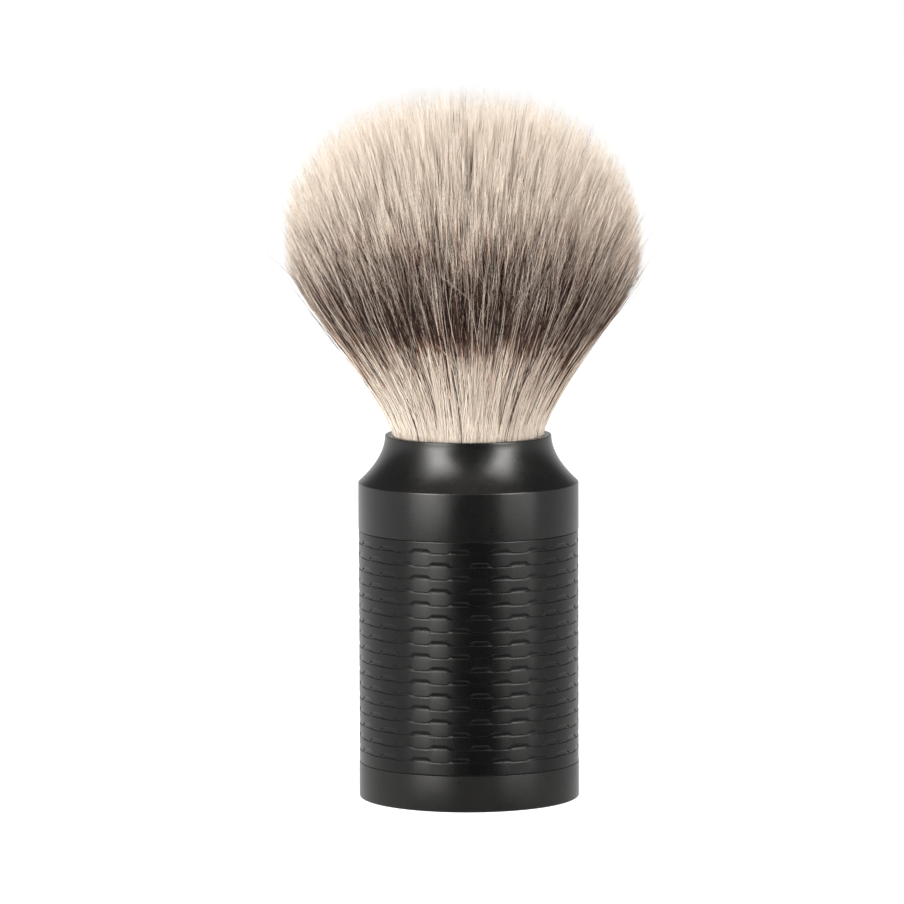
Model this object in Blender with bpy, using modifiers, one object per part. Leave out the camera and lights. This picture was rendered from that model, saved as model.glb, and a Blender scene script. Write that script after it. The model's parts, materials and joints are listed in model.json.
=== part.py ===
"""A black shaving brush whose head screws out of its handle.

Metres, +Z up. The origin is the centre of the base, which stands on z = 0.
The handle is a grip sleeve clamped between an inner core and a base cap by one screw.
The head is a flared collar bonded to a ferrule that holds the fibres. The ferrule's threaded
spigot screws into a bush in the core, and a seal ring on the spigot rides up with it.
Run it with: blender --background --python part.py
"""

import math

import bmesh
import bpy

# Driving dimensions of the outside.
BODY_RADIUS = 0.01525
RIM_RADIUS = 0.0115
RIM_BORE = 0.01085
BASE_HEIGHT = 0.0049
SLEEVE_TOP = 0.0373
SHOULDER_HEIGHT = 0.0439
RIM_HEIGHT = 0.0505
FLARE_POWER = 1.95
FOOT_EDGE = 0.00025
SEAM = 0.00012  # open line between two pieces on the outside
EASE = 0.0003  # gap between pieces that touch out of sight
CHAMFER = 0.00025

# Engraved grip: rows of trapezoid bumps, each row half a bump round from the next.
GRIP_ROWS = 17
GRIP_BUMPS = 17
GRIP_PITCH = 0.0018
GRIP_LOWEST = 0.00673
GRIP_PHASE = math.radians(-94.8)  # polar angle of a bump in the top row
GROOVE_WIDTH = 0.00024
GROOVE_DEPTH = 0.00022
BUMP_RISE = 0.0005
BUMP_CORNERS = (-2.5, -1.5, 1.5, 2.5)  # foot, top, top and foot, in eighths of the bump spacing

# Handle inside: the sleeve's ledge hangs on the core's flange, and the base cap pulls it up.
SLEEVE_BORE = 0.0130
SLEEVE_MOUTH = 0.01365
LEDGE_HEIGHT = 0.0319
CORE_RADIUS = 0.0127
CORE_BORE = 0.0105
CORE_FOOT = 0.0059
FLANGE_RADIUS = 0.01335
FLANGE_TOP = 0.0334
NECK_RADIUS = 0.0126
NECK_BORE = 0.0110
NECK_TOP = 0.0404
WEB_LOW, WEB_HIGH = 0.0152, 0.0192

# Head inside, and the thread between the head and the handle.
FERRULE_RADIUS = 0.0106
FERRULE_BORE = 0.0099
FERRULE_SEAT = 0.0352
FERRULE_FLOOR = 0.0374
FERRULE_TOP = 0.0477
PITCH = 0.002
THREAD_ROOT = 0.0070
THREAD_CREST = 0.0080
THREAD_LOW, THREAD_HIGH = 0.0262, 0.0344
THREAD_EASE = 0.00015
BUSH_LOW, BUSH_TOP = 0.0240, 0.0336

# Fibres: a fan from the neck to its widest ring, then a dome.
KNOT_NECK = 0.0098
FAN_START = 0.0485
BLOOM_RADIUS = 0.0250
BLOOM_HEIGHT = 0.0784
KNOT_TOP = 0.0983
FAN_POWER = 1.65
BINDING_HEIGHT = 0.0430

# Facets round the axis.
OUTER_STEPS = 48
INNER_STEPS = 32
THREAD_STEPS = 24
RING_STEPS = 24


def clear_scene():
    for obj in list(bpy.data.objects):
        bpy.data.objects.remove(obj)


def new_collection(name):
    collection = bpy.data.collections.new(name)
    bpy.context.scene.collection.children.link(collection)
    return collection


def finish(name, color, roughness, metallic=0.0):
    made = bpy.data.materials.new(name)
    made.use_nodes = True
    shader = made.node_tree.nodes["Principled BSDF"]
    shader.inputs["Base Color"].default_value = (*color, 1.0)
    shader.inputs["Roughness"].default_value = roughness
    shader.inputs["Metallic"].default_value = metallic
    return made


def smooth_round(mesh):
    """Shades the round faces smooth and keeps the corners of the profile sharp."""
    mesh.shade_smooth()
    mesh.set_sharp_from_angle(angle=math.radians(32))


def add_object(name, mesh, collection, material=None):
    obj = bpy.data.objects.new(name, mesh)
    collection.objects.link(obj)
    if material:
        mesh.materials.append(material)
    return obj


def move_to(obj, collection):
    for owner in list(obj.users_collection):
        owner.objects.unlink(obj)
    collection.objects.link(obj)


def arc(centre_r, centre_z, radius, start, end, count):
    """Points (r, z) on an arc, with angles in degrees from +r towards +z."""
    angles = [math.radians(start + (end - start) * i / (count - 1)) for i in range(count)]
    return [(centre_r + radius * math.cos(a), centre_z + radius * math.sin(a)) for a in angles]


def turned(name, profile, collection, material=None, steps=OUTER_STEPS):
    """A turned piece. Its profile (r, z) starts down its outer side.

    A profile that starts on the axis ends there too, and any other one closes on itself.
    """
    mesh = bpy.data.meshes.new(name)
    count = len(profile)
    edges = [(i, i + 1) for i in range(count - 1)]
    if profile[0][0] > 0.0:
        edges.append((count - 1, 0))
    mesh.from_pydata([(r, 0.0, z) for r, z in profile], edges, [])
    obj = add_object(name, mesh, collection, material)
    screw = obj.modifiers.new("turn", "SCREW")
    screw.axis = "Z"
    screw.steps = steps
    screw.render_steps = steps
    screw.use_merge_vertices = True
    screw.merge_threshold = 0.00001
    screw.use_smooth_shade = True
    return obj


def spin_mesh(name, points, lift_per_turn, steps, place=None):
    """Spins an open or closed line of (r, z) points once round Z, and closes what it makes."""
    shape = bmesh.new()
    verts = [shape.verts.new((r, 0.0, z)) for r, z in points]
    pairs = list(zip(verts, verts[1:]))
    if points[0][0] > 0.0:
        pairs.append((verts[-1], verts[0]))
    edges = [shape.edges.new(pair) for pair in pairs]
    bmesh.ops.spin(
        shape,
        geom=verts + edges,
        axis=(0.0, 0.0, 1.0),
        cent=(0.0, 0.0, 0.0),
        dvec=(0.0, 0.0, lift_per_turn / steps),
        angle=2 * math.pi,
        steps=steps,
    )
    bmesh.ops.remove_doubles(shape, verts=shape.verts, dist=0.000002)
    if lift_per_turn:
        bmesh.ops.holes_fill(shape, edges=[e for e in shape.edges if e.is_boundary], sides=0)
        bmesh.ops.triangulate(shape, faces=shape.faces)
    if place:
        for vert in shape.verts:
            vert.co = place(vert.co)
    bmesh.ops.recalc_face_normals(shape, faces=shape.faces)
    mesh = bpy.data.meshes.new(name)
    shape.to_mesh(mesh)
    shape.free()
    return mesh


def boolean(obj, cutter, operation):
    modifier = obj.modifiers.new(operation.lower() + "_" + cutter.name, "BOOLEAN")
    modifier.operation = operation
    modifier.object = cutter
    modifier.solver = "EXACT"


def helper(obj):
    """Marks a cutter or a guide, which isn't a piece of the brush."""
    obj.hide_render = True
    obj.display_type = "WIRE"
    return obj


def o_ring(name, ring_radius, section_radius, height, collection, material):
    bpy.ops.mesh.primitive_torus_add(
        major_radius=ring_radius,
        minor_radius=section_radius,
        major_segments=RING_STEPS,
        minor_segments=6,
        location=(0.0, 0.0, height),
    )
    obj = bpy.context.active_object
    obj.name = name
    obj.data.materials.append(material)
    obj.data.shade_smooth()
    move_to(obj, collection)
    return obj


def flare_outline(count):
    """Points (r, z) down the concave flare, which is nearly a parabola from the rim to the shoulder."""
    shares = [i / count for i in range(1, count)]
    return [
        (
            RIM_RADIUS + (BODY_RADIUS - RIM_RADIUS) * share**FLARE_POWER,
            RIM_HEIGHT + (SHOULDER_HEIGHT - RIM_HEIGHT) * share,
        )
        for share in shares
    ]


def build_collar(parts, steel):
    """The flared ring of the head: a band, a concave flare up to a thin rim, and a lip that fits the sleeve."""
    lip = 0.0134
    low = SLEEVE_TOP + SEAM
    profile = [
        (RIM_RADIUS - 0.0002, RIM_HEIGHT),
        (RIM_RADIUS, RIM_HEIGHT - 0.0002),
        *flare_outline(9),
        (BODY_RADIUS - 0.0001, SHOULDER_HEIGHT),
        (BODY_RADIUS, SHOULDER_HEIGHT - 0.00015),
        (BODY_RADIUS, low + CHAMFER / 2),
        (BODY_RADIUS - CHAMFER / 2, low),
        (lip, low),
        (lip, FLANGE_TOP + 0.0010),
        (NECK_RADIUS + EASE / 2, FLANGE_TOP + 0.0010),
        (NECK_RADIUS + EASE / 2, NECK_TOP + EASE),
        (RIM_BORE, NECK_TOP + EASE),
        (RIM_BORE, RIM_HEIGHT - 0.0002),
        (RIM_BORE + 0.0002, RIM_HEIGHT),
    ]
    return turned("collar", profile, parts, steel)


def grip_angle(column):
    """Polar angle of a column. Each bump has four, at its corners, and they suit both kinds of row."""
    bump, corner = divmod(column, len(BUMP_CORNERS))
    return GRIP_PHASE + 2 * math.pi / GRIP_BUMPS * (bump + BUMP_CORNERS[corner] / 8)


def grip_place(point):
    """Moves a point of the turned sleeve to its column, and lifts the grooves where a bump is.

    Between bumps a groove is a narrow V. At a bump its upper edge and its bottom rise, so it opens
    into a wedge that is deep at the top and runs out at the lower edge.
    """
    columns = GRIP_BUMPS * len(BUMP_CORNERS)
    radius = math.hypot(point.x, point.y)
    column = round(math.atan2(point.y, point.x) / (2 * math.pi) * columns) % columns
    row, above_base = divmod(point.z - GRIP_LOWEST + GROOVE_WIDTH / 4, GRIP_PITCH)
    in_groove = GROOVE_WIDTH / 2 < above_base < 1.5 * GROOVE_WIDTH and 0 <= row < GRIP_ROWS
    top_row = GRIP_ROWS - 1 - row
    on_bump = (column % 4 in (1, 2)) == (top_row % 2 == 0)
    rise = BUMP_RISE if in_groove and on_bump and radius > SLEEVE_MOUTH + 0.0005 else 0.0
    angle = grip_angle(column)
    return (radius * math.cos(angle), radius * math.sin(angle), point.z + rise)


def build_grip_sleeve(parts, steel):
    """A turned tube with an inner ledge, and an engraved groove round it for each row of the grip."""
    low, high = BASE_HEIGHT + SEAM, SLEEVE_TOP
    profile = [(BODY_RADIUS - CHAMFER / 2, high), (BODY_RADIUS, high - CHAMFER / 2)]
    for row in range(GRIP_ROWS - 1, -1, -1):
        base = GRIP_LOWEST + GRIP_PITCH * row
        profile += [
            (BODY_RADIUS, base + GROOVE_WIDTH),
            (BODY_RADIUS - GROOVE_DEPTH, base + GROOVE_WIDTH / 2),
            (BODY_RADIUS, base),
        ]
    profile += [
        (BODY_RADIUS, low + CHAMFER / 2),
        (BODY_RADIUS - CHAMFER / 2, low),
        (SLEEVE_BORE, low),
        (SLEEVE_BORE, LEDGE_HEIGHT),
        (SLEEVE_MOUTH, LEDGE_HEIGHT),
        (SLEEVE_MOUTH, high),
    ]
    columns = GRIP_BUMPS * len(BUMP_CORNERS)
    mesh = spin_mesh("grip_sleeve", profile, 0.0, columns, grip_place)
    smooth_round(mesh)
    return add_object("grip_sleeve", mesh, parts, steel)


def build_base_cap(parts, steel):
    """The plain foot: a disc with a spigot that centres it in the core, bored for the clamp screw."""
    spigot = CORE_BORE - EASE
    recess = 0.0122
    profile = [
        (spigot - CHAMFER, 0.0074),
        (spigot, 0.0074 - CHAMFER),
        (spigot, BASE_HEIGHT),
        (BODY_RADIUS - CHAMFER / 2, BASE_HEIGHT),
        (BODY_RADIUS, BASE_HEIGHT - CHAMFER / 2),
        *arc(BODY_RADIUS - FOOT_EDGE, FOOT_EDGE, FOOT_EDGE, 0, -90, 4),
        (recess, 0.0),
        (recess, 0.0012),
        (0.0050, 0.0012),
        (0.0050, 0.0044),
        (0.0028, 0.0044),
        (0.0028, 0.0074),
    ]
    return turned("base_cap", profile, parts, steel)


def build_core(parts, alloy):
    """The inner tube. Its flange holds the sleeve, its web takes the clamp screw, its neck guides the collar."""
    profile = [
        (NECK_RADIUS, NECK_TOP),
        (NECK_RADIUS, FLANGE_TOP),
        (FLANGE_RADIUS, FLANGE_TOP),
        (FLANGE_RADIUS, LEDGE_HEIGHT + EASE),
        (CORE_RADIUS, LEDGE_HEIGHT + EASE),
        (CORE_RADIUS, CORE_FOOT),
        (CORE_BORE, CORE_FOOT),
        (CORE_BORE, WEB_LOW),
        (0.0026, WEB_LOW),
        (0.0026, WEB_HIGH),
        (0.0100, WEB_HIGH),
        (0.0100, 0.0321),
        (NECK_BORE, 0.0321),
        (NECK_BORE, NECK_TOP),
    ]
    return turned("core_tube", profile, parts, alloy, INNER_STEPS)


def build_clamp(parts, cutters, steel, dark_steel):
    """Ballast, clamp screw, its washer, and the plate that closes the base."""
    ballast = [
        (0.0098, 0.0148),
        (0.0101, 0.0145),
        (0.0101, 0.0080),
        (0.0098, 0.0077),
        (0.0032, 0.0077),
        (0.0032, 0.0148),
    ]
    turned("ballast_slug", ballast, parts, steel, INNER_STEPS)
    plate = [(0.0, 0.0009), (0.0119, 0.0009), (0.0119, 0.0001), (0.0, 0.0001)]
    turned("base_plate", plate, parts, dark_steel, INNER_STEPS)
    washer = [(0.0044, 0.0042), (0.0044, 0.0036), (0.0028, 0.0036), (0.0028, 0.0042)]
    turned("spring_washer", washer, parts, steel, RING_STEPS)
    screw = [
        (0.0, 0.0188),
        (0.0021, 0.0188),
        (0.00245, 0.0184),
        (0.00245, 0.0034),
        (0.0042, 0.0034),
        (0.0042, 0.0016),
        (0.0040, 0.0014),
        (0.0, 0.0014),
    ]
    body = turned("clamp_screw", screw, parts, steel, RING_STEPS)
    bpy.ops.mesh.primitive_cylinder_add(vertices=6, radius=0.0017, depth=0.0030, location=(0.0, 0.0, 0.0012))
    socket = bpy.context.active_object
    socket.name = "hex_socket_cutter"
    move_to(socket, cutters)
    boolean(body, helper(socket), "DIFFERENCE")


def thread_profile(low, high, ease):
    """Points (r, z) down one side of a thread, from high to low, eased outwards for a female thread."""
    root, crest = THREAD_ROOT + ease, THREAD_CREST + ease
    half_crest = PITCH / 8 + ease * 0.7
    half_foot = half_crest + PITCH / 4
    points = [(0.0, high), (root, high)]
    for turn in range(round((high - low) / PITCH)):
        middle = high - PITCH * (turn + 0.5)
        points += [
            (root, middle + half_foot),
            (crest, middle + half_crest),
            (crest, middle - half_crest),
            (root, middle - half_foot),
        ]
    return [*points, (root, low), (0.0, low)]


def threaded_rod(name, ease, collection):
    """A closed rod with a right-hand thread, longer at both ends than what it cuts or becomes."""
    low, high = BUSH_LOW - 1.9 * PITCH, BUSH_LOW + 6.1 * PITCH
    mesh = spin_mesh(name, thread_profile(low, high, ease), PITCH, THREAD_STEPS)
    return helper(add_object(name, mesh, collection))


def build_bush(parts, cutters, brass):
    """The flanged bush in the core, with the female thread for the head."""
    profile = [
        (0.0107, BUSH_TOP),
        (0.0107, 0.0324),
        (0.0097, 0.0324),
        (0.0097, BUSH_LOW),
        (0.0060, BUSH_LOW),
        (0.0060, BUSH_TOP),
    ]
    bush = turned("thread_bush", profile, parts, brass, INNER_STEPS)
    boolean(bush, threaded_rod("female_thread_cutter", THREAD_EASE, cutters), "DIFFERENCE")
    return bush


def build_ferrule(parts, cutters, plastic):
    """The cup that holds the fibres, with a threaded spigot under its floor."""
    core = THREAD_ROOT - 0.0006
    cup = [
        (0.0, FERRULE_FLOOR),
        (FERRULE_BORE, FERRULE_FLOOR),
        (FERRULE_BORE, FERRULE_TOP),
        (FERRULE_RADIUS - 0.0002, FERRULE_TOP),
        (FERRULE_RADIUS, FERRULE_TOP - 0.0002),
        (FERRULE_RADIUS, FERRULE_SEAT + CHAMFER),
        (FERRULE_RADIUS - CHAMFER, FERRULE_SEAT),
        (core, FERRULE_SEAT),
        (core, THREAD_LOW + PITCH),
        (0.0, THREAD_LOW + PITCH),
    ]
    ferrule = turned("knot_ferrule", cup, parts, plastic, INNER_STEPS)
    trim = [
        (0.0, THREAD_HIGH),
        (THREAD_ROOT - 0.0002, THREAD_HIGH),
        (THREAD_CREST + 0.0003, THREAD_HIGH - 0.0014),
        (THREAD_CREST + 0.0003, THREAD_LOW + 0.0014),
        (THREAD_ROOT - 0.0002, THREAD_LOW),
        (0.0, THREAD_LOW),
    ]
    rod = threaded_rod("male_thread", 0.0, cutters)
    envelope = helper(turned("male_thread_trim", trim, cutters, None, INNER_STEPS))
    boolean(rod, envelope, "INTERSECT")
    boolean(ferrule, rod, "UNION")
    return ferrule


def fan_radius(height):
    """Radius of the fibres' outline between their neck and their widest ring."""
    share = (height - FAN_START) / (BLOOM_HEIGHT - FAN_START)
    return KNOT_NECK + (BLOOM_RADIUS - KNOT_NECK) * math.sin(math.pi / 2 * share) ** FAN_POWER


def build_fibres(parts, fibre, cotton, resin):
    """The fibres as one closed form, the cord that binds their butt, and the resin under it."""
    dome = [
        (BLOOM_RADIUS * math.sin(a), BLOOM_HEIGHT + (KNOT_TOP - BLOOM_HEIGHT) * math.cos(a))
        for a in (math.pi / 2 * i / 8 for i in range(1, 9))
    ]
    rings = 8
    heights = [BLOOM_HEIGHT - (BLOOM_HEIGHT - FAN_START) * i / rings for i in range(1, rings + 1)]
    butt = FERRULE_BORE - EASE
    waist = butt - 0.0010
    neck = [
        (butt, FERRULE_TOP - 0.0005),
        (butt, BINDING_HEIGHT + 0.0008),
        (waist, BINDING_HEIGHT + 0.0006),
        (waist, BINDING_HEIGHT - 0.0006),
        (butt, BINDING_HEIGHT - 0.0008),
        (butt, 0.0402),
        (0.0, 0.0402),
    ]
    outline = [(0.0, KNOT_TOP), *dome, *((fan_radius(height), height) for height in heights), *neck]
    turned("fibre_bundle", outline, parts, fibre, INNER_STEPS)
    o_ring("binding_cord", butt - 0.00045, 0.00035, BINDING_HEIGHT, parts, cotton)
    plug = [(0.0, 0.0399), (butt, 0.0399), (butt, FERRULE_FLOOR + EASE), (0.0, FERRULE_FLOOR + EASE)]
    turned("resin_plug", plug, parts, resin, INNER_STEPS)


def build():
    clear_scene()
    parts = new_collection("shaving_brush")
    cutters = new_collection("cutters")
    black_steel = finish("black_steel", (0.035, 0.035, 0.037), 0.34, 0.9)
    bare_steel = finish("bare_steel", (0.56, 0.56, 0.57), 0.35, 1.0)
    alloy = finish("alloy", (0.70, 0.70, 0.72), 0.40, 1.0)
    brass = finish("brass", (0.78, 0.60, 0.28), 0.35, 1.0)
    black_plastic = finish("black_plastic", (0.03, 0.03, 0.03), 0.50)
    rubber = finish("seal_rubber", (0.02, 0.02, 0.02), 0.70)
    resin = finish("resin", (0.75, 0.62, 0.35), 0.30)
    cotton = finish("binding_cotton", (0.80, 0.78, 0.72), 0.90)
    fibre = finish("fibre", (0.80, 0.70, 0.60), 0.60)

    build_grip_sleeve(parts, black_steel)
    build_base_cap(parts, black_steel)
    build_core(parts, alloy)
    build_bush(parts, cutters, brass)
    build_clamp(parts, cutters, bare_steel, black_steel)
    o_ring("neck_seal", 0.0131, 0.00034, FLANGE_TOP + 0.0005, parts, rubber)
    o_ring("base_seal", 0.0116, 0.00035, (BASE_HEIGHT + CORE_FOOT) / 2, parts, rubber)

    build_collar(parts, black_steel)
    build_ferrule(parts, cutters, black_plastic)
    build_fibres(parts, fibre, cotton, resin)
    o_ring("head_seal", 0.0093, 0.0006, (BUSH_TOP + FERRULE_SEAT) / 2, parts, rubber)


build()
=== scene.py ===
"""The looks of a black shaving brush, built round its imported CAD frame. Metres, +Z up, front towards -Y."""

import json
import math

import bpy
import numpy as np
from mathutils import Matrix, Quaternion, Vector


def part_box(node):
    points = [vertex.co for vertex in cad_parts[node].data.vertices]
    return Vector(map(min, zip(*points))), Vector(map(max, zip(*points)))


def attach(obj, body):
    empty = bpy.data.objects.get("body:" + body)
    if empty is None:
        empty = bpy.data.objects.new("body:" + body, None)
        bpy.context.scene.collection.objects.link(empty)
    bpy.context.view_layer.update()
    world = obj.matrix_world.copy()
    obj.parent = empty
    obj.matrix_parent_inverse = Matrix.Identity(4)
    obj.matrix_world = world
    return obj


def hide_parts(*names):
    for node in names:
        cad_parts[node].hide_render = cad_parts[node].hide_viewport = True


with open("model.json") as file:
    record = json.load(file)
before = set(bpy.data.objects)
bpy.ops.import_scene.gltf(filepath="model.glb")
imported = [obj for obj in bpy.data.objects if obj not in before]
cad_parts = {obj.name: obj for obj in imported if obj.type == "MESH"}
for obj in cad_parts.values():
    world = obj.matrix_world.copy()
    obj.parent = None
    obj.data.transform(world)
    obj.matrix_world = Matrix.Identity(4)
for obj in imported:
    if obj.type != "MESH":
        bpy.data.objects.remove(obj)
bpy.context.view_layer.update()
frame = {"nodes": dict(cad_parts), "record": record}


def heights(node):
    """The lowest and the highest z of a CAD node."""
    low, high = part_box(node)
    return low.z, high.z


# Heights and radii, taken from the frame.
SLEEVE_LOW, SLEEVE_HIGH = heights("grip_sleeve")
CORE_LOW, CORE_HIGH = heights("core_tube")
PLATE_LOW, PLATE_HIGH = heights("base_plate")
SEAL_LOW, SEAL_HIGH = heights("neck_seal")
KNOT_LOW, KNOT_TOP = heights("fibre_bundle")
COLLAR_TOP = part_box("collar")[1].z
FERRULE_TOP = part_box("knot_ferrule")[1].z
BODY_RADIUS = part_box("collar")[1].x
KNOT_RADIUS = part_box("fibre_bundle")[1].x
SEAM = 0.00003  # half of an open line between two outer pieces
SLEEVE_RADIUS = BODY_RADIUS - 0.00004
TURN_STEPS = 192  # columns of a turned piece

# Collar: a rim, a concave flare, a shoulder and a band outside, and two bores inside.
RIM_RADIUS = 0.0115
RIM_BORE = 0.01085
RIM_LIP = 0.0105  # the bore's narrower mouth, which holds the fibres together
LIP_LOW, LIP_HIGH = COLLAR_TOP - 0.0016, COLLAR_TOP - 0.0012
SHOULDER = COLLAR_TOP - 0.0066
FLARE_POWER = 1.95
FLARE_POINTS = 32
SKIRT_BORE, SKIRT_TOP = 0.0134, 0.0344
COLLAR_BORE, COLLAR_BORE_TOP = 0.01275, 0.0407

# Base cap: a foot with a recess for the closing plate, a seat and a hole for the screw, and a spigot.
FOOT_EDGE = 0.00028
SPIGOT_RADIUS, SPIGOT_TOP = 0.0102, 0.0074
RECESS_RADIUS, RECESS_TOP = 0.0122, 0.0012
SCREW_HEAD_BORE, SCREW_SEAT = 0.0050, 0.0044
SCREW_HOLE = 0.0028

# Sleeve bore: a ledge that hangs on the core tube's flange, under a wider mouth.
SLEEVE_BORE = 0.0130
SLEEVE_MOUTH = 0.01365
LEDGE_HEIGHT = 0.0319

# Core tube: a foot, a web with the screw's hole, the bush's bore, a flange and a neck.
CORE_RADIUS, CORE_BORE = 0.0127, 0.0105
WEB_LOW, WEB_HIGH, WEB_HOLE = 0.0152, 0.0192, 0.0026
BUSH_BORE, BUSH_TOP = 0.0100, 0.0321
FLANGE_RADIUS, FLANGE_LOW, FLANGE_HIGH = 0.01335, 0.0322, 0.0334
CORE_NECK, CORE_NECK_BORE = 0.0126, 0.0110

# Closing plate, with a fine turned line near its edge, and the seal round the core tube's neck.
PLATE_RADIUS = 0.0119
LINE_OUTER, LINE_MIDDLE, LINE_INNER, LINE_DEPTH = 0.0100, 0.00985, 0.0097, 0.00010
PLATE_MIDDLE = 0.00001  # the plate's outline stops just short of the axis
SEAL_RADIUS = 0.0131

# Grip pattern, in rows of trapezoid bumps.
GRIP_ROWS = 17
GRIP_BUMPS = 17
GRIP_PITCH = 0.0018
GRIP_LOWEST = SLEEVE_LOW + 0.00171
GRIP_PHASE = math.radians(-94.8)
BUMP_RISE = 550  # micrometres
BUMP_FOOT, BUMP_TOP = 2.5, 1.5  # a bump's half width at its foot and its top, in eighths of the spacing
# Sections from the upper edge down, of a plain groove and of the pocket under a bump's top: height above
# the row's baseline and depth, in micrometres. A bump lifts the levels above its baseline.
GROOVE_SECTION = (
    (270, 0), (205, 0), (185, 14), (174, 45), (168, 140), (100, 160), (32, 140),
    (20, 45), (8, 8), (0, 0), (-90, 0),
)
POCKET_SECTION = (
    (270, 0), (205, 0), (160, 34), (115, 74), (90, 84), (-350, 84), (-415, 80),
    (112, 60), (82, 30), (55, 3), (20, 0),
)
LIFTED_LEVELS = 7
MICROMETRE = 1e-6

# Fibres: a neck in the collar, a fan to the widest ring of tips, and a dome of tips.
FIBRE_COUNT = 37800
FIBRES_PER_PIECE = 2700
STRAY_COUNT = 150
FIBRE_RINGS = 13
NECK_HEIGHT = FERRULE_TOP + 0.0006
NECK_RADIUS = 0.0099
ROOT_HEIGHT = KNOT_LOW + 0.001
DOME_LOW = KNOT_TOP - 0.0205  # height of the widest ring of tips
DOME_HEIGHT = 0.0212
DOME_RADIUS = KNOT_RADIUS - 0.0003
DOME_POWER = 2 / 2.2  # the dome is a little fuller than an ellipse
TIP_SWEEP = math.radians(95)  # how far down the dome the outermost fibres' tips are
TIP_TAPER = 0.015
LEAN = -0.0006  # how far the widest ring leans along X
INNER_FAN_POWER = 1.25
OUTER_FAN_ARC, OUTER_FAN_POWER = 0.80 * math.pi / 2, 1.58
AIM_SPREAD = 0.030  # how far a fibre's tip strays from its even place, as a share of the dome's sweep
SWIRL = 0.11  # how far a fibre turns about the axis, in radians
SWAY = 0.00052  # how wavy a fibre is
THINNEST, THICKEST = 0.000040, 0.000064
STRAY_THINNEST, STRAY_THICKEST = 0.000034, 0.000044
WISP_COUNT, WISP_PULL = 900, 0.15  # the larger groups that the fibres lean into
LOCK_COUNT, LOCK_PULL = 4500, 0.65  # the small groups, whose fibres have nearly the same shade

# Shades: each fibre takes one column of the UV map, and the columns differ in where their dark band lies.
SHADES = 512
STRAY_SHADES = 10  # the first columns are dark to the tip
PALE_SHADES = 84  # the columns up to here have a faint band
LONG_SHADES = 98  # the columns up to here have a band that runs on towards the root
FIRST_START, LAST_START = -4.0, 22.0  # where the band starts in the other columns, in mm from the tip
BAND_TOP = KNOT_TOP - 0.0200  # height where the band starts at the front and the back
SIDE_DROP = 0.0050  # how much lower it starts at the sides
SLANT = 1.05  # a fibre's length for each unit of height, in the band
LOCK_SECTORS = 90  # sectors round the knot, each a little paler or darker than its neighbours
BAND_SCALE = 0.050  # the distance from a fibre's tip that the whole UV height stands for

# Studio.
LAMP_DISTANCE = 0.80
LAMP_AIM = Vector((0.0, 0.0, 0.04))
CAMERA_DISTANCE, CAMERA_HEIGHT = 1.000, 0.1647
CAMERA_AIM_X, CAMERA_AIM_Z = -0.00225, 0.0480
CAMERA_ROLL = math.radians(-0.2)
VIEW_WIDTH = 0.1250  # width of the view where the brush stands
SENSOR = 36.0


# Geometry helpers

def new_object(name, mesh):
    piece = bpy.data.objects.new(name, mesh)
    bpy.context.scene.collection.objects.link(piece)
    return piece


def stand_in(piece, node, body, finish):
    """Finishes a piece, hangs it on the body it rides on, and hides the CAD node that it stands for."""
    piece.data.materials.append(finish)
    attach(piece, body)
    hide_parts(node)


def rounded(corners, steps=4):
    """A closed outline (r, z) from corners (r, z, size), each one rounded off over its size."""
    points = []
    for i, (r, z, size) in enumerate(corners):
        here = np.array((r, z))
        if size == 0:
            points.append(here)
            continue
        before = np.array(corners[i - 1][:2]) - here
        after = np.array(corners[(i + 1) % len(corners)][:2]) - here
        start = here + before / np.linalg.norm(before) * min(size, np.linalg.norm(before) * 0.49)
        end = here + after / np.linalg.norm(after) * min(size, np.linalg.norm(after) * 0.49)
        for step in range(steps + 1):
            t = step / steps
            points.append((1 - t) ** 2 * start + 2 * t * (1 - t) * here + t**2 * end)
    return points


def grid_object(name, rings):
    """A closed skin from rings of points, where the last ring joins the first."""
    rings = np.asarray(rings, dtype=np.float32)
    levels, columns = rings.shape[:2]
    level, column = np.meshgrid(np.arange(levels), np.arange(columns), indexing="ij")
    below, beside = (level + 1) % levels, (column + 1) % columns
    corners = [
        level * columns + column,
        below * columns + column,
        below * columns + beside,
        level * columns + beside,
    ]
    quads = np.stack(corners, axis=-1).reshape(-1, 4)
    mesh = bpy.data.meshes.new(name)
    mesh.from_pydata(rings.reshape(-1, 3), [], quads.tolist())
    mesh.shade_smooth()
    mesh.set_sharp_from_angle(angle=math.radians(50))
    return new_object(name, mesh)


def turned(name, outline):
    """A turned piece from a closed outline (r, z) that runs down its outer side."""
    outline = np.asarray(outline)
    angles = np.arange(TURN_STEPS) * 2 * math.pi / TURN_STEPS
    rings = np.empty((len(outline), TURN_STEPS, 3))
    rings[..., 0] = outline[:, :1] * np.cos(angles)
    rings[..., 1] = outline[:, :1] * np.sin(angles)
    rings[..., 2] = outline[:, 1:]
    return grid_object(name, rings)


# Materials

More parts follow.
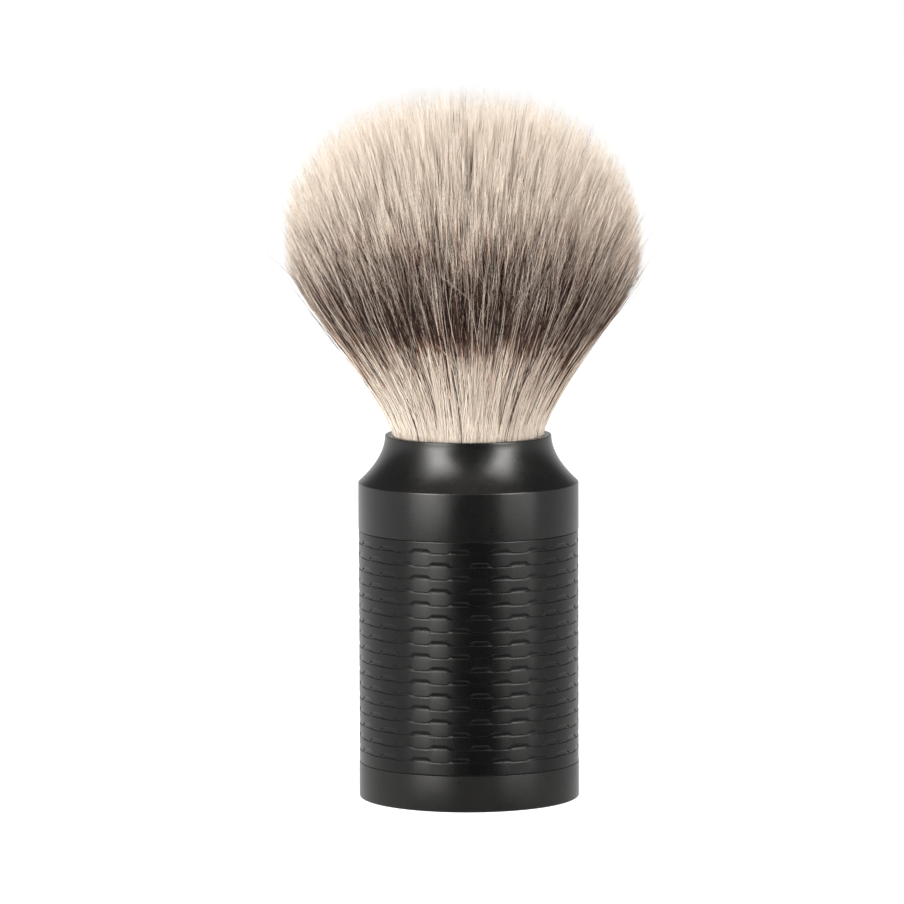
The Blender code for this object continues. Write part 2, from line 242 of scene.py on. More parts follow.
class Nodes:
    """The node tree of a material or a world, with short ways to add what these use."""

    def __init__(self, owner):
        self.owner = owner
        self.owner.use_nodes = True
        self.tree = owner.node_tree

    def add(self, kind, **settings):
        node = self.tree.nodes.new(kind)
        for key, value in settings.items():
            setattr(node, key, value)
        return node

    def put(self, value, socket):
        if isinstance(value, bpy.types.NodeSocket):
            self.tree.links.new(value, socket)
        else:
            socket.default_value = value

    def place(self, output="Object"):
        return self.add("ShaderNodeTexCoord").outputs[output]

    def split(self, vector):
        node = self.add("ShaderNodeSeparateXYZ")
        self.put(vector, node.inputs[0])
        return node.outputs

    def math(self, operation, a, b=0.0):
        node = self.add("ShaderNodeMath", operation=operation)
        self.put(a, node.inputs[0])
        self.put(b, node.inputs[1])
        return node.outputs[0]

    def noise(self, vector, scale, detail=3.0, roughness=0.5):
        node = self.add("ShaderNodeTexNoise")
        self.put(vector, node.inputs["Vector"])
        self.put(scale, node.inputs["Scale"])
        self.put(detail, node.inputs["Detail"])
        self.put(roughness, node.inputs["Roughness"])
        return node.outputs["Fac"]

    def turning_lines(self, place, across, along):
        """Noise in fine rings round the axis."""
        node = self.add("ShaderNodeMapping")
        self.put(place, node.inputs["Vector"])
        node.inputs["Scale"].default_value = (across, across, along)
        return self.noise(node.outputs["Vector"], 1.0, 3.0, 0.7)

    def map(self, value, low, high, to_low=0.0, to_high=1.0, kind="LINEAR"):
        node = self.add("ShaderNodeMapRange", interpolation_type=kind)
        for number, socket in zip((value, low, high, to_low, to_high), node.inputs):
            self.put(number, socket)
        return node.outputs["Result"]

    def mix(self, share, a, b):
        node = self.add("ShaderNodeMix", data_type="RGBA")
        self.put(share, node.inputs["Factor"])
        self.put((*a, 1.0) if isinstance(a, tuple) else a, node.inputs["A"])
        self.put((*b, 1.0) if isinstance(b, tuple) else b, node.inputs["B"])
        return node.outputs["Result"]

    def bump(self, height, distance, strength, normal=None):
        node = self.add("ShaderNodeBump")
        self.put(height, node.inputs["Height"])
        self.put(distance, node.inputs["Distance"])
        self.put(strength, node.inputs["Strength"])
        if normal:
            self.put(normal, node.inputs["Normal"])
        return node.outputs["Normal"]

    def finish(self, **inputs):
        """Sets a material's shader, whose inputs are named in lower case, and hands over the material."""
        shader = self.tree.nodes["Principled BSDF"]
        for name, value in inputs.items():
            value = (*value, 1.0) if isinstance(value, tuple) else value
            self.put(value, shader.inputs[name.replace("_", " ").title().replace("Ior", "IOR")])
        return self.owner


def new_material(name):
    return Nodes(bpy.data.materials.new(name))


def black_coating(name, roughness, grain, brushing, tone, shine):
    """Satin black coating over turned metal: fine turning lines, a soft cloud of tone and a fine grain."""
    n = new_material(name)
    place = n.place()
    clouds = n.noise(place, 260.0, 4.0)
    speck = n.noise(place, 9000.0, 2.0, 0.6)
    lines = n.turning_lines(place, 30.0, 9000.0)
    dark = (0.80 * tone, 0.78 * tone, 0.76 * tone)
    light = (1.22 * tone, 1.20 * tone, 1.16 * tone)
    clouded = n.map(clouds, 0.3, 0.7, roughness - 0.02, roughness + 0.03)
    fine = n.bump(speck, 0.000006, grain)
    return n.finish(
        base_color=n.mix(clouds, dark, light),
        roughness=n.math("ADD", clouded, n.math("MULTIPLY", speck, 0.04)),
        normal=n.bump(lines, 0.000006, brushing, fine),
        metallic=0.0,
        specular_ior_level=shine,
    )


def turned_metal(name, color, roughness):
    """Bare turned metal with fine rings."""
    n = new_material(name)
    place = n.place()
    lines = n.turning_lines(place, 40.0, 7000.0)
    stain = n.noise(place, 180.0, 4.0)
    stained = tuple(0.72 * c for c in color)
    return n.finish(
        base_color=n.mix(n.map(stain, 0.35, 0.75, 0.0, 0.6), color, stained),
        roughness=n.map(stain, 0.3, 0.7, roughness - 0.06, roughness + 0.08),
        metallic=1.0,
        normal=n.bump(lines, 0.00001, 0.5),
    )


def dull_solid(name, dark, light, roughness, scale, bump_height):
    """Rubber, resin, cord or moulded plastic: a mottled tone and a fine grain."""
    n = new_material(name)
    place = n.place()
    mottle = n.noise(place, scale, 5.0, 0.6)
    grain = n.noise(place, scale * 12, 3.0)
    return n.finish(
        base_color=n.mix(mottle, dark, light),
        roughness=n.map(grain, 0.3, 0.7, roughness - 0.05, roughness + 0.05),
        normal=n.bump(grain, bump_height, 0.6),
    )


def fibre_material():
    """Fibres with a pale root, a dark band and a cream tip. Each shade has its own band and its own cream."""
    n = new_material("fibre_mat")
    uv = n.split(n.add("ShaderNodeUVMap", uv_map="OFBake").outputs["UV"])
    shade = n.math("FLOOR", n.math("MULTIPLY", uv["X"], float(SHADES)))
    random = n.add("ShaderNodeTexWhiteNoise", noise_dimensions="1D")
    n.put(shade, random.inputs["W"])
    chance = n.add("ShaderNodeSeparateColor")
    n.put(random.outputs["Color"], chance.inputs[0])
    one, two, three = chance.outputs
    # Which of the four kinds a shade is: dark to the tip (none of these), faint, long or graded.
    common = n.math("GREATER_THAN", shade, STRAY_SHADES - 0.5)
    faint = n.math("MULTIPLY", common, n.math("LESS_THAN", shade, PALE_SHADES - 0.5))
    graded = n.math("GREATER_THAN", shade, LONG_SHADES - 0.5)
    long = n.math("SUBTRACT", n.math("SUBTRACT", common, faint), graded)
    # Where the band starts and ends, in mm from the tip.
    by_column = n.math("MULTIPLY", graded, n.map(shade, LONG_SHADES, SHADES, FIRST_START, LAST_START))
    by_chance = n.math("MULTIPLY", n.math("SUBTRACT", common, graded), n.map(one, 0.0, 1.0, 1.0, 10.0))
    starts = n.math("ADD", by_column, by_chance)
    extra = n.math("MULTIPLY", long, n.map(three, 0.0, 1.0, 2.0, 10.0))
    ends = n.math("ADD", n.math("ADD", starts, n.map(two, 0.0, 1.0, 13.0, 17.5)), extra)
    # How dark the fibre is at this distance from its tip.
    from_tip = n.math("MULTIPLY", n.math("SUBTRACT", 1.0, uv["Y"]), BAND_SCALE * 1000)
    enters = n.map(from_tip, n.math("SUBTRACT", starts, 2.8), n.math("ADD", starts, 2.6), kind="SMOOTHSTEP")
    leaves = n.map(from_tip, n.math("SUBTRACT", ends, 2.0), n.math("ADD", ends, 2.0), kind="SMOOTHSTEP")
    fading = n.math("MULTIPLY", faint, n.map(three, 0.0, 1.0, 0.70, 1.0))
    band = n.math("MULTIPLY", enters, n.math("SUBTRACT", 1.0, leaves))
    band = n.math("MULTIPLY", band, n.math("SUBTRACT", 1.0, fading))
    cream = n.mix(n.map(three, 0.1, 1.0), (0.80, 0.725, 0.635), (0.66, 0.56, 0.465))
    tan = n.mix(n.map(band, 0.0, 0.40), cream, (0.45, 0.26, 0.18))
    brown = n.mix(two, (0.014, 0.007, 0.0045), (0.078, 0.036, 0.024))
    return n.finish(
        base_color=n.mix(n.map(band, 0.25, 0.9), tan, brown),
        roughness=n.map(two, 0.0, 1.0, 0.42, 0.62),
        specular_ior_level=0.35,
    )


# Handle and collar

def collar_outline():
    """Outline of the collar: rim, concave flare, shoulder, band, lip and bore."""
    band_low = SLEEVE_HIGH + SEAM
    drop, spread = SHOULDER - COLLAR_TOP, BODY_RADIUS - RIM_RADIUS
    down = np.linspace(0.06, 0.985, FLARE_POINTS)
    flare = [(RIM_RADIUS + spread * t**FLARE_POWER, COLLAR_TOP + drop * t, 0) for t in down]
    return rounded(
        [
            (RIM_RADIUS, COLLAR_TOP, 0.00016),
            *flare,
            (BODY_RADIUS, SHOULDER - 0.00002, 0.00012),
            (BODY_RADIUS, band_low, 0.00009),
            (SKIRT_BORE, band_low, 0),
            (SKIRT_BORE, SKIRT_TOP, 0.00015),
            (COLLAR_BORE, SKIRT_TOP, 0.00015),
            (COLLAR_BORE, COLLAR_BORE_TOP, 0),
            (RIM_BORE, COLLAR_BORE_TOP, 0),
            (RIM_BORE, LIP_LOW, 0.0003),
            (RIM_LIP, LIP_HIGH, 0.0003),
            (RIM_LIP, COLLAR_TOP, 0.00012),
        ]
    )


def base_outline():
    """Outline of the base cap: foot with a rounded edge, recess for the plate, screw bore and spigot."""
    return rounded(
        [
            (SPIGOT_RADIUS, SPIGOT_TOP, 0.0003),
            (SPIGOT_RADIUS, SLEEVE_LOW - SEAM, 0),
            (BODY_RADIUS, SLEEVE_LOW - SEAM, 0.00006),
            (BODY_RADIUS, 0.0, FOOT_EDGE),
            (RECESS_RADIUS, 0.0, 0.00015),
            (RECESS_RADIUS, RECESS_TOP, 0),
            (SCREW_HEAD_BORE, RECESS_TOP, 0),
            (SCREW_HEAD_BORE, SCREW_SEAT, 0),
            (SCREW_HOLE, SCREW_SEAT, 0),
            (SCREW_HOLE, SPIGOT_TOP, 0.0002),
        ]
    )


def grip_columns():
    """Places of the sleeve's columns, in eighths of a bump's spacing, closer at the bumps' corners."""
    corners = (-BUMP_FOOT, -BUMP_TOP, BUMP_TOP, BUMP_FOOT)
    close = [corner + side for corner in corners for side in (-0.14, 0.0, 0.14)]
    between = [-2.0, -0.75, 0.0, 0.75, 2.0, 3.25, 4.0, 4.75]
    one = np.array(sorted(close + between))
    return np.concatenate([one + 8 * bump for bump in range(GRIP_BUMPS)])


def bump_share(eighths, row):
    """How much of the full rise a row's groove has at each column, with the trapezoid's corners softened."""
    from_bump = (eighths + 4 * (row % 2) + 4) % 8 - 4
    shares = [np.clip(BUMP_FOOT - np.abs(from_bump + soft), 0.0, 1.0) for soft in (-0.12, 0.0, 0.12)]
    return sum(shares) / 3


def sleeve_rings():
    """The sleeve's skin, from its top edge down its engraved outside and back up its bore."""
    eighths = grip_columns()
    angles = GRIP_PHASE + eighths * 2 * math.pi / (8 * GRIP_BUMPS)
    rings = []

    def ring(radius, height):
        radius, height = np.broadcast_to(radius, angles.shape), np.broadcast_to(height, angles.shape)
        rings.append(np.stack([radius * np.cos(angles), radius * np.sin(angles), height], axis=-1))

    ring(SLEEVE_RADIUS - 0.00010, SLEEVE_HIGH)
    ring(SLEEVE_RADIUS - 0.00003, SLEEVE_HIGH - 0.00003)
    ring(SLEEVE_RADIUS, SLEEVE_HIGH - 0.00010)
    ring(SLEEVE_RADIUS, SLEEVE_HIGH - 0.00018)
    for row in range(GRIP_ROWS):
        base = GRIP_LOWEST + GRIP_PITCH * (GRIP_ROWS - 1 - row)
        share = bump_share(eighths, row)
        for level, (groove, pocket) in enumerate(zip(GROOVE_SECTION, POCKET_SECTION)):
            rise = BUMP_RISE if level < LIFTED_LEVELS else 0
            height = groove[0] + (pocket[0] + rise - groove[0]) * share
            depth = groove[1] + (pocket[1] - groove[1]) * share
            ring(SLEEVE_RADIUS - depth * MICROMETRE, base + height * MICROMETRE)
    ring(SLEEVE_RADIUS, SLEEVE_LOW + 0.00018)
    ring(SLEEVE_RADIUS, SLEEVE_LOW + 0.00012)
    ring(SLEEVE_RADIUS - 0.00003, SLEEVE_LOW + 0.00003)
    ring(SLEEVE_RADIUS - 0.00012, SLEEVE_LOW)
    ring(SLEEVE_BORE, SLEEVE_LOW)
    ring(SLEEVE_BORE, LEDGE_HEIGHT)
    ring(SLEEVE_MOUTH, LEDGE_HEIGHT)
    ring(SLEEVE_MOUTH, SLEEVE_HIGH)
    return rings


def build_handle():
    glossy = black_coating("collar_coating", 0.25, 0.30, 0.30, 0.0030, 0.37)
    engraved = black_coating("grip_coating", 0.25, 0.35, 0.12, 0.0018, 0.26)
    plain = black_coating("foot_coating", 0.26, 0.35, 0.25, 0.0080, 0.21)
    collar = turned("collar_ring", collar_outline())
    sleeve = grid_object("engraved_grip", sleeve_rings())
    foot = turned("foot_cap", base_outline())
    stand_in(collar, "collar", "head", glossy)
    stand_in(sleeve, "grip_sleeve", "handle", engraved)
    stand_in(foot, "base_cap", "handle", plain)


# Fibres

def fan_outward(t, share):
    """How far a fibre has moved from its root's radius to its tip's, at a share t of its height.

    An inner fibre slants more and more towards its tip. An outer one slants evenly and then a little less.
    """
    inner = t**INNER_FAN_POWER
    outer = (np.sin(OUTER_FAN_ARC * t) / math.sin(OUTER_FAN_ARC)) ** OUTER_FAN_POWER
    return inner + (outer - inner) * np.clip(share, 0.0, 1.0) ** 2


def fibre_paths(share, around, shortfall, looseness, splay, random):
    """Centre lines (count, FIBRE_RINGS, 3) of fibres from the neck to the dome, each cut short of it.

    A fibre's looseness is how far it strays from its place and how wavy it is. Its splay is how far its tip
    stands out from the others.
    """
    count = len(share)
    aim = share * (1 + random.normal(0.0, AIM_SPREAD, count) * looseness)
    sweep = TIP_SWEEP * np.clip(np.where(aim > 1.0, 2.0 - aim, aim), 0.0, 1.0)
    cosine = np.cos(sweep)
    tip_out = DOME_RADIUS * np.sin(sweep) ** DOME_POWER * np.maximum(share, 1.0)
    tip_height = DOME_LOW + DOME_HEIGHT * np.sign(cosine) * np.abs(cosine) ** DOME_POWER
    length = np.hypot(tip_out, tip_height - NECK_HEIGHT)
    steps = np.concatenate([[0.0], np.linspace(0.0, 1.0, FIBRE_RINGS - 1) ** 0.9])
    along = steps * (1 - shortfall / length)[:, None]
    height = NECK_HEIGHT + (tip_height - NECK_HEIGHT)[:, None] * along
    height[:, 0] = ROOT_HEIGHT
    root_out = NECK_RADIUS * np.minimum(share, 1.0)
    out = root_out[:, None] + (tip_out - root_out)[:, None] * fan_outward(along, share[:, None])
    out += splay[:, None] * np.clip(along - 0.4, 0.0, None) ** 1.2
    swirl = around[:, None] + (random.normal(0.0, SWIRL, count) * looseness)[:, None] * along**1.3
    x, y = out * np.cos(swirl), out * np.sin(swirl)
    sway = SWAY * (random.random(count) ** 1.5 * looseness)[:, None] * along**1.2
    turns = random.uniform(0.5, 1.6, (count, 1))
    phase = random.random((count, 2)) * 2 * math.pi
    lean = LEAN * np.clip((height - NECK_HEIGHT) / (DOME_LOW - NECK_HEIGHT), 0.0, 1.2) ** 1.5
    x = x + sway * np.sin(2 * math.pi * turns * along + phase[:, :1]) + lean
    y = y + sway * np.sin(2 * math.pi * turns * along + phase[:, 1:])
    return np.stack([x, y, height], axis=-1)


def gather(paths, random, groups, pull):
    """Draws the fibres of each group together towards their tips, and tells which group each one is in."""
    tips = paths[:, -1]
    centres = tips[random.choice(len(tips), groups, replace=False)]
    nearest = np.empty(len(tips), dtype=int)
    for start in range(0, len(tips), 2000):
        block = tips[start : start + 2000]
        nearest[start : start + 2000] = ((block[:, None] - centres) ** 2).sum(-1).argmin(1)
    sums = np.zeros((groups, paths.shape[1], 3))
    np.add.at(sums, nearest, paths)
    number = np.bincount(nearest, minlength=groups)[:, None, None]
    mean = sums / np.maximum(number, 1)
    along = np.linspace(0.0, 1.0, paths.shape[1])[:, None]
    weight = pull * random.uniform(0.35, 1.0, (len(tips), 1, 1)) * np.clip((along - 0.15) / 0.55, 0, 1)
    pulled = paths + (mean[nearest] - paths) * weight
    pulled[..., 2] = paths[..., 2]
    return pulled, nearest


def knot_paths(share, around, random):
    """Centre lines of the knot's own fibres, and the lock that each one is in."""
    count = len(share)
    shortfall = np.abs(random.normal(0.0, 0.0008, count)) + random.exponential(0.0014, count) - 0.0008
    shortfall += random.exponential(0.0022, count) * np.clip((share - 0.8) / 0.2, 0.0, 1.0)
    looseness = 0.8 + random.exponential(0.55, count) + 3.6 * (random.random(count) < 0.09)
    splay = np.abs(random.normal(0.0, 0.0009, count))
    splay += random.exponential(0.0022, count) * (random.random(count) < 0.06)
    paths = fibre_paths(share, around, shortfall, looseness, splay, random)
    paths = gather(paths, random, WISP_COUNT, WISP_PULL)[0]
    return gather(paths, random, LOCK_COUNT, LOCK_PULL)


def stray_paths(around, random):
    """Centre lines of the few loose fibres that stand out from the knot's edge."""
    count = len(around)
    share = random.uniform(0.94, 1.02, count)
    shortfall = random.uniform(0.0, 0.014, count)
    splay = random.uniform(0.001, 0.009, count)
    return fibre_paths(share, around, shortfall, np.full(count, 1.5), splay, random)


def knot_shades(paths, around, lock, random):
    """The shade of each of the knot's own fibres.

    The band starts near the same height in all of them, sooner or later by fibre, lock and sector. Some
    fibres take a faint or a long band instead, more of them at the sides.
    """
    count = len(paths)
    sector = (around / (2 * math.pi) * LOCK_SECTORS).astype(int)
    later, paler = random.normal(0.0, 1.0, (2, LOCK_SECTORS))
    band_top = BAND_TOP - SIDE_DROP * np.cos(around) ** 2
    start = (paths[:, -1, 2] - band_top) * 1000 * SLANT + random.normal(0.0, 1.7, count) + later[sector]
    start += random.normal(0.0, 2.3, LOCK_COUNT)[lock]
    start -= random.exponential(9.0, count) * (random.random(count) < 0.30)
    start -= (random.exponential(7.0, LOCK_COUNT) * (random.random(LOCK_COUNT) < 0.20))[lock]
    grade = np.clip((start - FIRST_START) / (LAST_START - FIRST_START), 0.0, 0.999)
    shades = (LONG_SHADES + (SHADES - LONG_SHADES) * grade).astype(int)
    odd = random.random(count) < 0.25 + 0.05 * paler[sector] + 0.22 * np.cos(around) ** 4
    shades[odd] = random.integers(STRAY_SHADES, LONG_SHADES, odd.sum())
    return shades


def fibre_tubes(paths, radius):
    """Corners of three-sided tubes round the paths: three at each ring, and one at the tip."""
    count, rings = paths.shape[:2]
    body = rings - 1
    tangent = np.gradient(paths, axis=1)
    tangent /= np.linalg.norm(tangent, axis=-1, keepdims=True)
    side = np.cross(tangent, (0.31, 0.95, 0.0))
    side /= np.linalg.norm(side, axis=-1, keepdims=True)
    other = np.cross(tangent, side)
    corners = np.arange(3) * 2 * math.pi / 3
    tube = (
        paths[:, :body, None]
        + radius[:, :body, None, None] * np.cos(corners)[:, None] * side[:, :body, None]
        + radius[:, :body, None, None] * np.sin(corners)[:, None] * other[:, :body, None]
    )
    return np.concatenate([tube.reshape(count, -1, 3), paths[:, -1:]], axis=1)


def tube_faces(body):
    """One tube's corners face by face, how many each face has, and how far round the tube each corner is."""
    ring, corner = np.meshgrid(np.arange(body - 1), np.arange(3), indexing="ij")
    here, above, beside = ring * 3, (ring + 1) * 3, (corner + 1) % 3
    quads = np.stack([here + corner, here + beside, above + beside, above + corner], -1)
    last = (body - 1) * 3
    cone = np.array([[last + c, last + (c + 1) % 3, body * 3] for c in range(3)])
    loops = np.concatenate([quads.reshape(-1), cone.reshape(-1), [2, 1, 0]])
    totals = np.array([4] * (len(quads) * 3) + [3] * 4)
    quad_turns = np.stack([corner, corner + 1, corner + 1, corner], -1)
    cone_turns = np.array([[c, c + 1, c + 0.5] for c in range(3)])
    turns = np.concatenate([quad_turns.reshape(-1), cone_turns.reshape(-1), np.array([2.0, 1.0, 0.0])])
    return loops, totals, turns


def fibre_mesh(name, paths, thickness, shades):
    """Tapered tubes along the paths, closed at both ends, with the shade and the tip distance as UV."""
    count, rings = paths.shape[:2]
    body = rings - 1
    length = np.linalg.norm(np.diff(paths, axis=1), axis=-1)
    from_tip = np.concatenate([np.cumsum(length[:, ::-1], axis=1)[:, ::-1], np.zeros((count, 1))], axis=1)
    taper = np.clip(from_tip / TIP_TAPER, 0.0, 1.0) ** 0.95
    verts = fibre_tubes(paths, thickness[:, None] * (0.12 + 0.88 * taper))
    loops, totals, turns = tube_faces(body)
    v = 1 - from_tip / BAND_SCALE
    vert_v = np.concatenate([np.repeat(v[:, :body], 3, axis=1), v[:, -1:]], axis=1)
    uv = np.empty((count, len(loops), 2), dtype=np.float32)
    uv[..., 0] = (shades / SHADES)[:, None] + turns / (3 * SHADES)
    uv[..., 1] = vert_v[:, loops]
    per_fibre = verts.shape[1]
    all_loops = loops + np.arange(count)[:, None] * per_fibre
    face_starts = np.concatenate([[0], np.cumsum(totals)[:-1]])
    all_starts = face_starts + np.arange(count)[:, None] * len(loops)
    mesh = bpy.data.meshes.new(name)
    mesh.vertices.add(count * per_fibre)
    mesh.vertices.foreach_set("co", verts.astype(np.float32).reshape(-1))
    mesh.loops.add(count * len(loops))
    mesh.loops.foreach_set("vertex_index", all_loops.astype(np.int32).reshape(-1))
    mesh.polygons.add(count * len(totals))
    mesh.polygons.foreach_set("loop_start", all_starts.astype(np.int32).reshape(-1))
    mesh.update(calc_edges=True)
    layer = mesh.uv_layers.new(name="OFBake")
    layer.uv.foreach_set("vector", uv.reshape(-1))
    mesh.shade_smooth()
    return mesh


def build_fibres():
    random = np.random.default_rng(7)
    finish = fibre_material()
    own = FIBRE_COUNT - STRAY_COUNT
    share = np.sqrt(random.random(own))
    share += np.abs(random.normal(0.0, 0.030, own)) * (share > 0.93)
    around = random.random(FIBRE_COUNT) * 2 * math.pi
    paths, lock = knot_paths(share, around[:own], random)
    shades = knot_shades(paths, around[:own], lock, random)
    paths = np.concatenate([paths, stray_paths(around[own:], random)])
    order = random.permutation(FIBRE_COUNT)
    thickness = random.uniform(THINNEST, THICKEST, FIBRE_COUNT)
    thickness[own:] = random.uniform(STRAY_THINNEST, STRAY_THICKEST, STRAY_COUNT)
    shades = np.concatenate([shades, random.integers(0, STRAY_SHADES, STRAY_COUNT)])
    for number, start in enumerate(range(0, FIBRE_COUNT, FIBRES_PER_PIECE), 1):
        chosen = order[start : start + FIBRES_PER_PIECE]
        name = f"fibres_{number}"
        piece = new_object(name, fibre_mesh(name, paths[chosen], thickness[chosen], shades[chosen]))
        stand_in(piece, "fibre_bundle", "head", finish)


# Inner pieces

def core_outline():
    """Outline of the core tube, from its neck down its outside and back up its bores."""
    return rounded(
        [
            (CORE_NECK, CORE_HIGH, 0.0002),
            (CORE_NECK, FLANGE_HIGH, 0.0001),
            (FLANGE_RADIUS, FLANGE_HIGH, 0.00012),
            (FLANGE_RADIUS, FLANGE_LOW, 0.00012),
            (CORE_RADIUS, FLANGE_LOW, 0),
            (CORE_RADIUS, CORE_LOW, 0.0002),
            (CORE_BORE, CORE_LOW, 0.0002),
            (CORE_BORE, WEB_LOW, 0),
            (WEB_HOLE, WEB_LOW, 0),
            (WEB_HOLE, WEB_HIGH, 0),
            (BUSH_BORE, WEB_HIGH, 0),
            (BUSH_BORE, BUSH_TOP, 0),
            (CORE_NECK_BORE, BUSH_TOP, 0),
            (CORE_NECK_BORE, CORE_HIGH, 0.0002),
        ]
    )


def plate_outline():
    """Outline of the closing plate, with a fine line turned into its underside."""
    return rounded(
        [
            (PLATE_RADIUS, PLATE_HIGH, 0.0001),
            (PLATE_RADIUS, PLATE_LOW, 0.00015),
            (LINE_OUTER, PLATE_LOW, 0.00010),
            (LINE_MIDDLE, PLATE_LOW + LINE_DEPTH, 0.00005),
            (LINE_INNER, PLATE_LOW, 0.00010),
            (PLATE_MIDDLE, PLATE_LOW, 0),
            (PLATE_MIDDLE, PLATE_HIGH, 0),
        ]
    )


def seal_outline():
    """A round section for the seal, as thick as the space between its two heights."""
    middle, section = (SEAL_LOW + SEAL_HIGH) / 2, (SEAL_HIGH - SEAL_LOW) / 2
    angles = [2 * math.pi * i / 16 for i in range(16)]
    return [(SEAL_RADIUS + section * math.cos(a), middle + section * math.sin(a)) for a in angles]


def build_inner_pieces(finishes):
    """Finer shapes for the pieces that show when the head is unscrewed or the brush lies down."""
    for name, outline, node, slot in (
        ("inner_tube", core_outline(), "core_tube", "core_alloy"),
        ("closing_plate", plate_outline(), "base_plate", "base_black"),
        ("neck_ring", seal_outline(), "neck_seal", "seal_rubber"),
    ):
        stand_in(turned(name, outline), node, "handle", finishes[slot])


def dress_inner_pieces():
    """Puts finishes on all the inner pieces. Those that never show keep the frame's shapes."""
    black_rubber = (0.010, 0.010, 0.010), (0.024, 0.024, 0.024)
    black_plastic = (0.012, 0.012, 0.012), (0.022, 0.022, 0.022)
    amber = (0.55, 0.40, 0.18), (0.66, 0.52, 0.28)
    ecru = (0.60, 0.56, 0.48), (0.78, 0.74, 0.66)
    finishes = {
        "core_alloy": turned_metal("turned_alloy", (0.62, 0.62, 0.64), 0.34),
        "bush_brass": turned_metal("turned_brass", (0.74, 0.55, 0.24), 0.30),
        "inner_steel": turned_metal("turned_steel", (0.52, 0.52, 0.53), 0.32),
        "base_black": black_coating("plate_black", 0.42, 0.5, 0.2, 0.010, 0.40),
        "seal_rubber": dull_solid("seal_black", *black_rubber, 0.62, 900, 0.00001),
        "ferrule_plastic": dull_solid("ferrule_black", *black_plastic, 0.5, 500, 0.00001),
        "resin": dull_solid("cast_resin", *amber, 0.25, 200, 0.000005),
        "cotton": dull_solid("waxed_cotton", *ecru, 0.85, 2500, 0.00003),
    }
    build_inner_pieces(finishes)
    for part in frame["record"]["subparts"]:
        if part["material_slot"] in finishes:
            mesh = frame["nodes"][part["node"]].data
            mesh.materials.clear()
            mesh.materials.append(finishes[part["material_slot"]])


# Studio

def build_floor():
    """A white floor, left out of reflections so that the black coating reflects only the room."""
    bpy.ops.mesh.primitive_circle_add(vertices=96, radius=8.0, fill_type="NGON", location=(0, 0, 0))
    floor = bpy.context.active_object
    floor.name = "studio_floor"
    floor.visible_glossy = False
    n = new_material("floor_white")
    tone = n.noise(n.place(), 3.0, 2.0)
    white = n.finish(
        base_color=n.mix(tone, (0.34, 0.34, 0.34), (0.36, 0.36, 0.36)),
        roughness=0.9,
        specular_ior_level=0.0,
        emission_color=(1.0, 1.0, 1.0),
        emission_strength=0.93,
    )
    floor.data.materials.append(white)


def build_world():
    """A room that is bright behind, beside and below the brush, dark in front and overhead."""
    world = bpy.data.worlds.new("studio")
    bpy.context.scene.world = world
    n = Nodes(world)
    x, y, z = n.split(n.place("Generated"))
    behind = n.map(y, -0.90, -0.10, 0.03, 1.02, kind="SMOOTHSTEP")
    leftwards = n.map(x, -1.0, 1.0, 1.08, 0.80)
    not_overhead = n.map(z, 0.06, 0.40, 1.0, 0.15, kind="SMOOTHSTEP")
    below = n.map(z, -0.35, -0.70, 0.0, 1.15, kind="SMOOTHSTEP")
    room = n.math("MULTIPLY", n.math("MULTIPLY", behind, leftwards), not_overhead)
    background = n.tree.nodes["Background"]
    n.put(n.math("MAXIMUM", room, below), background.inputs["Strength"])
    background.inputs["Color"].default_value = (1.0, 0.995, 0.985, 1.0)


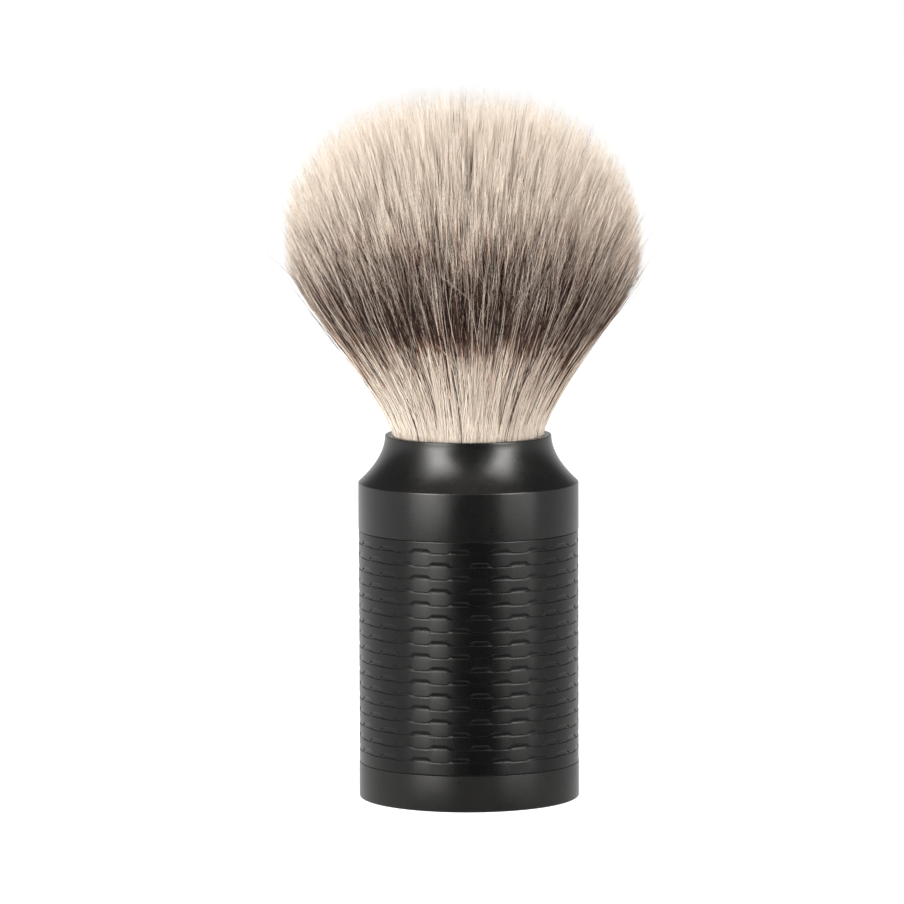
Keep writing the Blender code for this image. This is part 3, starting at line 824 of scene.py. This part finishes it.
def softbox(name, azimuth, elevation, width, height, radiance):
    """A rectangular lamp aimed at the brush. Azimuth 0 is in front, and positive is to the right.

    Its width and height are half angles in degrees.
    """
    lamp = bpy.data.lights.new(name, "AREA")
    lamp.shape = "RECTANGLE"
    lamp.size = 2 * LAMP_DISTANCE * math.tan(math.radians(width))
    lamp.size_y = 2 * LAMP_DISTANCE * math.tan(math.radians(height))
    lamp.energy = radiance * math.pi * lamp.size * lamp.size_y
    lamp.color = (1.0, 0.985, 0.965)
    holder = new_object(name, lamp)
    a, e = math.radians(azimuth), math.radians(elevation)
    away = Vector((math.sin(a) * math.cos(e), -math.cos(a) * math.cos(e), math.sin(e)))
    holder.location = LAMP_DISTANCE * away + LAMP_AIM
    holder.rotation_mode = "QUATERNION"
    holder.rotation_quaternion = away.to_track_quat("Z", "Y")
    holder.visible_camera = False
    return holder


def build_lamps():
    """A lamp with a diffuser and a wide scrim on each side, low panels for the handle, and a lamp overhead.

    The cores of the side lamps show only in reflections, and the two fill lamps only light the fibres.
    """
    softbox("left_diffuser", -45, 33, 14, 26, 6.0)
    softbox("left_scrim", -48, 34, 21, 31, 2.0)
    softbox("right_diffuser", 52, 33, 12, 26, 6.2)
    softbox("right_scrim", 53, 34, 17, 30, 1.9)
    softbox("left_low_panel", -40, 2, 12, 10, 2.6)
    softbox("left_low_scrim", -41, 2, 21, 13, 3.1)
    softbox("right_low_panel", 53, 2, 11, 10, 2.2)
    softbox("right_low_scrim", 53, 2, 19, 13, 2.8)
    softbox("zenith_panel", 0, 78, 16, 12, 1.0)
    left = softbox("left_softbox", -43, 29, 9, 18, 7.6)
    right = softbox("right_softbox", 50, 29, 7, 18, 8.0)
    left.visible_diffuse = right.visible_diffuse = False
    overhead = softbox("overhead_softbox", 180, 62, 30, 30, 0.55)
    front = softbox("front_fill", 0, 32, 26, 18, 0.8)
    overhead.visible_glossy = front.visible_glossy = False


def build_camera():
    """A long lens a little above the brush, rolled by a fifth of a degree."""
    lens = bpy.data.cameras.new("camera")
    camera = new_object("camera", lens)
    drop = CAMERA_HEIGHT - CAMERA_AIM_Z
    camera.location = (CAMERA_AIM_X, -CAMERA_DISTANCE, CAMERA_HEIGHT)
    tilt = Quaternion((1, 0, 0), math.atan2(CAMERA_DISTANCE, drop))
    camera.rotation_mode = "QUATERNION"
    camera.rotation_quaternion = tilt @ Quaternion((0, 0, 1), CAMERA_ROLL)
    lens.sensor_width = SENSOR
    lens.lens = SENSOR * math.hypot(CAMERA_DISTANCE, drop) / VIEW_WIDTH
    lens.clip_start, lens.clip_end = 0.05, 20.0
    bpy.context.scene.camera = camera


build_camera()
build_handle()
build_fibres()
dress_inner_pieces()
build_floor()
build_world()
build_lamps()
bpy.context.scene.view_settings.view_transform = "Standard"
